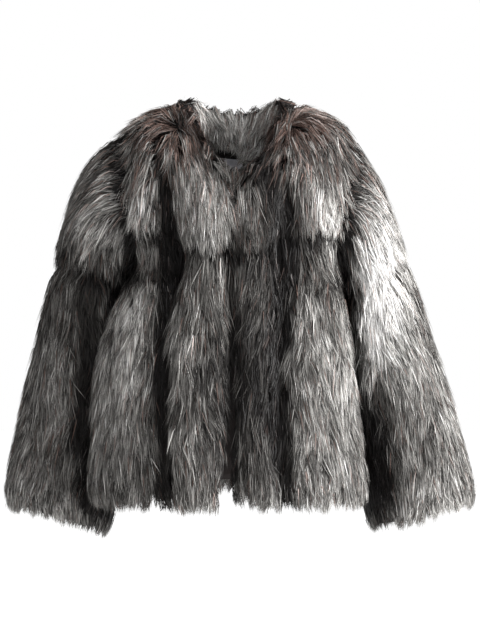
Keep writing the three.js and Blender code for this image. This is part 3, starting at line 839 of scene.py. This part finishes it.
    def _mesh(self, points: np.ndarray, column: np.ndarray, start: np.ndarray) -> bpy.types.Object:
        """Join the hairs into one mesh, each a quad and a pointed tip.

        Args:
            points: five points for each hair.
            column: where each hair's colour lies across the bake map.
            start: where each hair's root lies up the bake map.

        Returns:
            The new object.
        """
        count = len(points)
        shape = np.array([0, 1, 3, 2, 2, 3, 4])
        corners = (np.arange(count)[:, None] * 5 + shape).astype(np.int32).ravel()
        sizes = np.tile([4, 3], count)
        starts = np.concatenate([[0], np.cumsum(sizes)[:-1]]).astype(np.int32)
        mesh = bpy.data.meshes.new(self.sheet.node + "_fur")
        mesh.vertices.add(count * 5)
        mesh.vertices.foreach_set("co", points.reshape(-1))
        mesh.loops.add(len(corners))
        mesh.loops.foreach_set("vertex_index", corners)
        mesh.polygons.add(len(sizes))
        mesh.polygons.foreach_set("loop_start", starts)
        mesh.update(calc_edges=True)
        layer = mesh.uv_layers.new(name=BAKE_MAP)
        half = self.MAP_HALF
        v = np.array([0, 0, self.STATIONS[1], self.STATIONS[1], 1.0])
        u = np.array([-half, half, -half, half, 0.0])
        uv = np.empty((count, 7, 2), np.float32)
        uv[:, :, 0] = np.clip(column[:, None], half, 1 - half) + u[shape]
        height = start[:, None] + (1 - start[:, None]) * v[shape]
        uv[:, :, 1] = self.MAP_MARGIN + (1 - 2 * self.MAP_MARGIN) * height
        layer.uv.foreach_set("vector", uv.reshape(-1))
        mesh.polygons.foreach_set("use_smooth", np.ones(len(sizes), bool))
        mesh.validate()
        made = bpy.data.objects.new(self.sheet.node + "_fur", mesh)
        bpy.context.scene.collection.objects.link(made)
        return made


@dataclass(frozen=True)
class Pile:
    """How the hair of one panel grows, in metres.

    Attributes:
        density: locks on a square metre.
        strands: hairs in each lock.
        length: mean length of the hair.
        width: full width of a hair at its thickest.
        spread: radius of a lock at its root.
        overhang: least and most that the tips pass the panel's edge, or below 0 stop short of it.
        proud: how far the tips stand over the solid's outer face.
        rooting: how deep the roots lie, as a share of the wall.
        trim: how far above a free lower edge the skin ends.
        stray: spread of the directions of the locks, in radians.
        ragged: how unevenly the tips end along the panel's edge.
    """

    density: float = 16400
    strands: int = 16
    length: float = 0.068
    width: float = 0.0013
    spread: float = 0.0075
    overhang: tuple[float, float] = (-0.013, -0.001)
    proud: float = 0.004
    rooting: float = 0.62
    trim: float = 0.030
    stray: float = 0.12
    ragged: float = 0.003


class Pelt:
    """The skin and lining of one panel, as one thin closed shell."""

    # How deep in the wall the two faces of the shell lie, as a share of the wall's thickness.
    SKIN_DEPTH = 0.60
    LINING_DEPTH = 0.97

    # Which faces go: near the hem, near another free edge, and only where the skin falls steeply.
    HEM_TRIM = 0.8
    EDGE_TRIM = 0.3
    FALLING = -0.7

    def __init__(self, coat: Coat, index: int, pile: Pile, finishes: list[bpy.types.Material]) -> None:
        """Keep what the pelt is made from.

        Args:
            coat: all sheets.
            index: which sheet the pelt is made from.
            pile: of its hair.
            finishes: the materials of the skin and of the lining.
        """
        self.coat = coat
        self.sheet = coat.sheets[index]
        self.pile = pile
        self.finishes = finishes

    def _trim(self, bm: bmesh.types.BMesh) -> None:
        """Cut the skin back from the free lower edge, where only hair hangs."""
        if self.sheet.part is Part.NECK:
            return
        trim = self.pile.trim
        middles = np.array([f.calc_center_median() for f in bm.faces])
        if self.sheet.is_skirt:
            cut = middles[:, 2] < self.sheet.hem(middles) + self.HEM_TRIM * trim
        else:
            normals = np.array([f.normal for f in bm.faces])
            ways = unit(DOWN - normals[:, 2:] * DOWN[2] * normals)
            _, _, past = self.coat.land(middles + ways * trim)
            cut = (past > self.EDGE_TRIM * trim) & (ways[:, 2] < self.FALLING)
        gone = [face for face, is_cut in zip(bm.faces, cut) if is_cut]
        bmesh.ops.delete(bm, geom=gone, context="FACES")

    def build(self) -> bpy.types.Object:
        """Make the shell between the skin and the lining.

        Returns:
            The new object.
        """
        bm = self.sheet.bm.copy()
        source = bm.verts.layers.int.new("source")
        for vert in bm.verts:
            vert[source] = vert.index
        self._trim(bm)
        skin = list(bm.verts)
        made = bmesh.ops.extrude_face_region(bm, geom=list(bm.faces), use_keep_orig=True)
        below = [e for e in made["geom"] if isinstance(e, bmesh.types.BMVert)]
        sunk = {f for f in made["geom"] if isinstance(f, bmesh.types.BMFace)}
        sheet = self.sheet
        for group, depth in ((skin, self.SKIN_DEPTH), (below, self.LINING_DEPTH)):
            for vert in group:
                k = vert[source]
                vert.co = Vector(sheet.points[k] - sheet.normals[k] * sheet.thickness[k] * depth)
        for face in bm.faces:
            face.material_index = 1 if face in sunk else 0
            face.smooth = True
        bmesh.ops.recalc_face_normals(bm, faces=bm.faces)
        mesh = bpy.data.meshes.new(sheet.node + "_pelt")
        bm.to_mesh(mesh)
        bm.free()
        for finish in self.finishes:
            mesh.materials.append(finish)
        pelt = bpy.data.objects.new(sheet.node + "_pelt", mesh)
        bpy.context.scene.collection.objects.link(pelt)
        return pelt


def ramp(node: bpy.types.Node, stops: list[tuple[float, tuple[float, float, float]]]) -> None:
    """Fill a colour ramp.

    Args:
        node: the colour ramp node.
        stops: its places and colours.
    """
    elements = node.color_ramp.elements
    while len(elements) < len(stops):
        elements.new(1.0)
    for element, (place, colour) in zip(elements, stops):
        element.position = place
        element.color = (*colour, 1)


@dataclass(frozen=True)
class FurFinish:
    """Silver fox hair: dark at the root, silver in the middle and dark again at the tip.

    Attributes:
        dark: colour of the roots.
        greys: colours of the band on grey hair, from dark to light, with their places.
        browns: colours of the band on red-brown hair, from dark to light, with their places.
        band: how strongly the band shows along a hair, from root to tip.
        brown_root: how much of its colour a brown hair keeps at the root.
        roughness: of the hair.
        shine: its specular level.
    """

    dark: tuple[float, float, float] = (0.006, 0.005, 0.005)
    greys: tuple[tuple[float, tuple[float, float, float]], ...] = (
        (0.20, (0.058, 0.054, 0.050)),
        (0.375, (0.185, 0.178, 0.168)),
        (0.55, (0.42, 0.408, 0.388)),
        (0.70, (0.74, 0.72, 0.69)),
        (BROWN_FROM - 0.0001, (0.88, 0.87, 0.86)),
    )
    browns: tuple[tuple[float, tuple[float, float, float]], ...] = (
        (BROWN_FROM + 0.0001, (0.022, 0.014, 0.012)),
        (0.88, (0.16, 0.105, 0.088)),
        (1.00, (0.50, 0.42, 0.39)),
    )
    band: tuple[tuple[float, float], ...] = (
        (0.00, 0.00),
        (0.24, 0.06),
        (0.46, 0.60),
        (0.66, 1.00),
        (0.86, 0.80),
        (1.00, 0.25),
    )
    brown_root: float = 0.45
    roughness: float = 0.5
    shine: float = 0.18

    def material(self) -> bpy.types.Material:
        """Make the material, whose colour follows the bake map of a hair."""
        finish = bpy.data.materials.new("silver fur")
        finish.use_nodes = True
        nodes, links = finish.node_tree.nodes, finish.node_tree.links
        shader = nodes["Principled BSDF"]
        shader.inputs["Roughness"].default_value = self.roughness
        shader.inputs["Specular IOR Level"].default_value = self.shine
        place = nodes.new("ShaderNodeUVMap")
        place.uv_map = BAKE_MAP
        split = nodes.new("ShaderNodeSeparateXYZ")
        links.new(place.outputs["UV"], split.inputs["Vector"])
        shades = nodes.new("ShaderNodeValToRGB")
        ramp(shades, [(0.0, self.dark), *self.greys, *self.browns])
        links.new(split.outputs["X"], shades.inputs["Fac"])
        band = nodes.new("ShaderNodeValToRGB")
        ramp(band, [(place, (share, share, share)) for place, share in self.band])
        links.new(split.outputs["Y"], band.inputs["Fac"])
        is_brown = nodes.new("ShaderNodeMath")
        is_brown.operation = "GREATER_THAN"
        is_brown.inputs[1].default_value = BROWN_FROM
        links.new(split.outputs["X"], is_brown.inputs[0])
        rooted = nodes.new("ShaderNodeMath")
        rooted.operation = "MULTIPLY_ADD"
        rooted.inputs[1].default_value = self.brown_root
        links.new(is_brown.outputs["Value"], rooted.inputs[0])
        links.new(band.outputs["Color"], rooted.inputs[2])
        rooted.use_clamp = True
        mix = nodes.new("ShaderNodeMix")
        mix.data_type = "RGBA"
        mix.inputs["A"].default_value = (*self.dark, 1)
        links.new(rooted.outputs["Value"], mix.inputs["Factor"])
        links.new(shades.outputs["Color"], mix.inputs["B"])
        links.new(mix.outputs["Result"], shader.inputs["Base Color"])
        return finish


class Grain:
    """The node group that every cloth and skin shares: a fine weave over a soft mottle."""

    NAME = "cloth grain"

    @classmethod
    def group(cls) -> bpy.types.NodeTree:
        """Build the group once and return it."""
        if cls.NAME in bpy.data.node_groups:
            return bpy.data.node_groups[cls.NAME]
        tree = bpy.data.node_groups.new(cls.NAME, "ShaderNodeTree")
        tree.interface.new_socket("Place", in_out="INPUT", socket_type="NodeSocketVector")
        tree.interface.new_socket("Mottle", in_out="INPUT", socket_type="NodeSocketFloat")
        tree.interface.new_socket("Threads", in_out="INPUT", socket_type="NodeSocketFloat")
        tree.interface.new_socket("Shade", in_out="OUTPUT", socket_type="NodeSocketFloat")
        tree.interface.new_socket("Height", in_out="OUTPUT", socket_type="NodeSocketFloat")
        nodes, links = tree.nodes, tree.links
        source, drain = nodes.new("NodeGroupInput"), nodes.new("NodeGroupOutput")
        noise = nodes.new("ShaderNodeTexNoise")
        noise.inputs["Detail"].default_value = 5
        wave = nodes.new("ShaderNodeTexWave")
        wave.bands_direction = "Z"
        wave.inputs["Distortion"].default_value = 1.5
        for texture, scale in ((noise, "Mottle"), (wave, "Threads")):
            links.new(source.outputs["Place"], texture.inputs["Vector"])
            links.new(source.outputs[scale], texture.inputs["Scale"])
        blend = nodes.new("ShaderNodeMath")
        blend.operation = "MULTIPLY_ADD"
        blend.inputs[1].default_value = 0.25
        links.new(wave.outputs["Fac"], blend.inputs[0])
        links.new(noise.outputs["Fac"], blend.inputs[2])
        links.new(blend.outputs["Value"], drain.inputs["Shade"])
        links.new(wave.outputs["Fac"], drain.inputs["Height"])
        return tree


@dataclass(frozen=True)
class ClothFinish:
    """A plain cloth or skin with a fine weave and a soft mottle.

    Attributes:
        name: of the material.
        low: darkest colour.
        high: lightest colour.
        roughness: of the surface.
        mottle: size of the mottle, as a noise scale.
        threads: size of the weave, as a wave scale.
        relief: how strongly the weave stands out.
        shine: its specular level.
    """

    name: str
    low: tuple[float, float, float]
    high: tuple[float, float, float]
    roughness: float
    mottle: float
    threads: float
    relief: float = 0.25
    shine: float = 0.5

    def material(self) -> bpy.types.Material:
        """Make the material from the shared grain on Object coordinates."""
        finish = bpy.data.materials.new(self.name)
        finish.use_nodes = True
        nodes, links = finish.node_tree.nodes, finish.node_tree.links
        shader = nodes["Principled BSDF"]
        shader.inputs["Roughness"].default_value = self.roughness
        shader.inputs["Specular IOR Level"].default_value = self.shine
        place = nodes.new("ShaderNodeTexCoord")
        grain = nodes.new("ShaderNodeGroup")
        grain.node_tree = Grain.group()
        grain.inputs["Mottle"].default_value = self.mottle
        grain.inputs["Threads"].default_value = self.threads
        links.new(place.outputs["Object"], grain.inputs["Place"])
        shades = nodes.new("ShaderNodeValToRGB")
        ramp(shades, [(0.35, self.low), (0.85, self.high)])
        links.new(grain.outputs["Shade"], shades.inputs["Fac"])
        links.new(shades.outputs["Color"], shader.inputs["Base Color"])
        bump = nodes.new("ShaderNodeBump")
        bump.inputs["Strength"].default_value = self.relief
        bump.inputs["Distance"].default_value = 0.0006
        links.new(grain.outputs["Height"], bump.inputs["Height"])
        links.new(bump.outputs["Normal"], shader.inputs["Normal"])
        return finish


SKIN = ClothFinish("fur skin", (0.006, 0.005, 0.005), (0.02, 0.017, 0.016), 0.9, 60, 900, shine=0.1)
LINING = ClothFinish(
    "lining satin", (0.009, 0.007, 0.007), (0.02, 0.015, 0.014), 0.5, 14, 1600, shine=0.15
)
LABEL_SATIN = ClothFinish("label satin", (0.80, 0.78, 0.85), (0.92, 0.90, 0.97), 0.42, 90, 1500)


@dataclass(frozen=True)
class Panel:
    """One sewn panel of the coat.

    Attributes:
        node: name of its solid.
        part: what it goes round.
        pile: how its hair grows.
        cut: width and length that it was cut to, in metres; not used.
        area: flat area of the cut, in square metres; not used.
    """

    node: str
    part: Part
    pile: Pile
    cut: tuple[float, float]
    area: float


UPPER = Pile(length=0.070, overhang=(-0.014, 0.022), proud=0.0030, ragged=0.012)
LOWER = Pile()
COLLAR = Pile(density=26000, length=0.052, overhang=(0.010, 0.036), proud=0.005, spread=0.006, stray=0.24)

PANELS = [
    Panel("yoke_front_right", Part.BODY, UPPER, (0.24, 0.22), 0.031),
    Panel("yoke_front_left", Part.BODY, UPPER, (0.24, 0.22), 0.031),
    Panel("yoke_back", Part.BODY, UPPER, (0.40, 0.24), 0.069),
    Panel("body_front_right", Part.BODY, LOWER, (0.36, 0.40), 0.122),
    Panel("body_front_left", Part.BODY, LOWER, (0.33, 0.40), 0.110),
    Panel("body_back", Part.BODY, LOWER, (0.62, 0.38), 0.200),
    Panel("sleeve_cap_right", Part.ARM, UPPER, (0.44, 0.26), 0.065),
    Panel("sleeve_cap_left", Part.ARM, UPPER, (0.44, 0.24), 0.057),
    Panel("sleeve_right", Part.ARM, LOWER, (0.46, 0.40), 0.146),
    Panel("sleeve_left", Part.ARM, LOWER, (0.46, 0.40), 0.145),
    Panel("collar", Part.NECK, COLLAR, (0.56, 0.12), 0.048),
]


class Studio:
    """The floor, the world, the lights and the camera."""

    # How far the camera stands, how low the floor lies, its side, and the point that the lights face.
    DISTANCE = 5.0
    FLOOR = -0.93
    FLOOR_SIZE = 24.0
    TARGET = (0, 0, -0.33)

    # The floor glows by this share under the coat and fully from this far behind it.
    GLOW = 0.40
    WHITE_FROM = 0.9

    # How strongly the world lights the coat.
    AMBIENT = 0.12

    def camera(self) -> None:
        """Look straight at the front, with the photo's frame."""
        data = bpy.data.cameras.new("camera")
        data.lens = data.sensor_width * self.DISTANCE / (PHOTO_SIZE[1] * PIXEL)
        camera = bpy.data.objects.new("camera", data)
        bpy.context.scene.collection.objects.link(camera)
        x = (PHOTO_SIZE[0] / 2 - ORIGIN_PIXEL[0]) * PIXEL
        z = (ORIGIN_PIXEL[1] - PHOTO_SIZE[1] / 2) * PIXEL
        camera.location = (x, -self.DISTANCE, z)
        camera.rotation_euler = (math.pi / 2, 0, 0)
        bpy.context.scene.camera = camera

    def paper(self) -> bpy.types.Material:
        """White paper that glows weakly under the coat and fully behind it, as the photo's white ground."""
        paper = bpy.data.materials.new("white paper")
        paper.use_nodes = True
        nodes, links = paper.node_tree.nodes, paper.node_tree.links
        shader = nodes["Principled BSDF"]
        shader.inputs["Base Color"].default_value = (0.9, 0.9, 0.9, 1)
        shader.inputs["Roughness"].default_value = 0.9
        shader.inputs["Emission Strength"].default_value = 1.0
        place = nodes.new("ShaderNodeTexCoord")
        split = nodes.new("ShaderNodeSeparateXYZ")
        links.new(place.outputs["Object"], split.inputs["Vector"])
        glow = nodes.new("ShaderNodeMapRange")
        glow.interpolation_type = "SMOOTHSTEP"
        glow.inputs["From Max"].default_value = self.WHITE_FROM
        glow.inputs["To Min"].default_value = self.GLOW
        links.new(split.outputs["Y"], glow.inputs["Value"])
        links.new(glow.outputs["Result"], shader.inputs["Emission Color"])
        return paper

    def floor(self) -> None:
        """Lay a plain pale floor."""
        bm = bmesh.new()
        bmesh.ops.create_grid(bm, x_segments=1, y_segments=1, size=self.FLOOR_SIZE / 2)
        bmesh.ops.translate(bm, verts=bm.verts, vec=(0, 0, self.FLOOR))
        mesh = bpy.data.meshes.new("floor")
        bm.to_mesh(mesh)
        bm.free()
        mesh.materials.append(self.paper())
        floor = bpy.data.objects.new("floor", mesh)
        bpy.context.scene.collection.objects.link(floor)

    def world(self) -> None:
        """Light the coat weakly from all round, and show white beyond the floor."""
        world = bpy.data.worlds.new("studio")
        world.use_nodes = True
        nodes, links = world.node_tree.nodes, world.node_tree.links
        background = nodes["Background"]
        background.inputs["Color"].default_value = (1, 1, 1, 1)
        path = nodes.new("ShaderNodeLightPath")
        strength = nodes.new("ShaderNodeMapRange")
        strength.inputs["To Min"].default_value = self.AMBIENT
        links.new(path.outputs["Is Camera Ray"], strength.inputs["Value"])
        links.new(strength.outputs["Result"], background.inputs["Strength"])
        bpy.context.scene.world = world

    def light(
        self,
        name: str,
        place: tuple[float, float, float],
        power: float,
        size: float,
    ) -> None:
        """Hang one soft light.

        Args:
            name: of the light.
            place: where it hangs.
            power: in watts.
            size: of its side.
        """
        data = bpy.data.lights.new(name, "AREA")
        data.energy = power
        data.size = size
        lamp = bpy.data.objects.new(name, data)
        bpy.context.scene.collection.objects.link(lamp)
        lamp.location = place
        lamp.rotation_euler = (Vector(self.TARGET) - Vector(place)).to_track_quat("-Z", "Y").to_euler()

    def build(self) -> None:
        """Set up the whole studio."""
        self.floor()
        self.world()
        self.camera()
        self.light("key from the right", (2.7, -1.3, 0.6), 210, 0.9)
        self.light("fill from the front", (-0.8, -3.3, 1.1), 18, 1.6)
        self.light("top", (0.5, -0.9, 2.4), 44, 1.2)
        bpy.context.scene.view_settings.view_transform = "Standard"


def main() -> None:
    """Build the coat and the studio, and report each piece."""
    logging.basicConfig(level=logging.INFO, format="%(name)s: %(message)s")
    hair = FurFinish().material()
    skins = [SKIN.material(), LINING.material()]
    coat = Coat([Sheet(panel.node, panel.part) for panel in PANELS])
    hairs = 0
    for index, panel in enumerate(PANELS):
        pelt = Pelt(coat, index, panel.pile, skins).build()
        fur = Fur(coat, index, panel.pile, 100 + index).build()
        fur.data.materials.append(hair)
        for piece in (pelt, fur):
            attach(piece, "root")
            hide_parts(panel.node)
        area = sum(p.area for p in pelt.data.polygons) / 2
        hairs += len(fur.data.polygons) // 2
        log.info("%s: %d hairs, pelt %.4f m2", panel.node, len(fur.data.polygons) // 2, area)
    log.info("all: %d hairs, %d triangles", hairs, hairs * 3)
    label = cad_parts["neck_label"]
    label.data.materials.clear()
    label.data.materials.append(LABEL_SATIN.material())
    Studio().build()


if __name__ == "__main__":
    main()
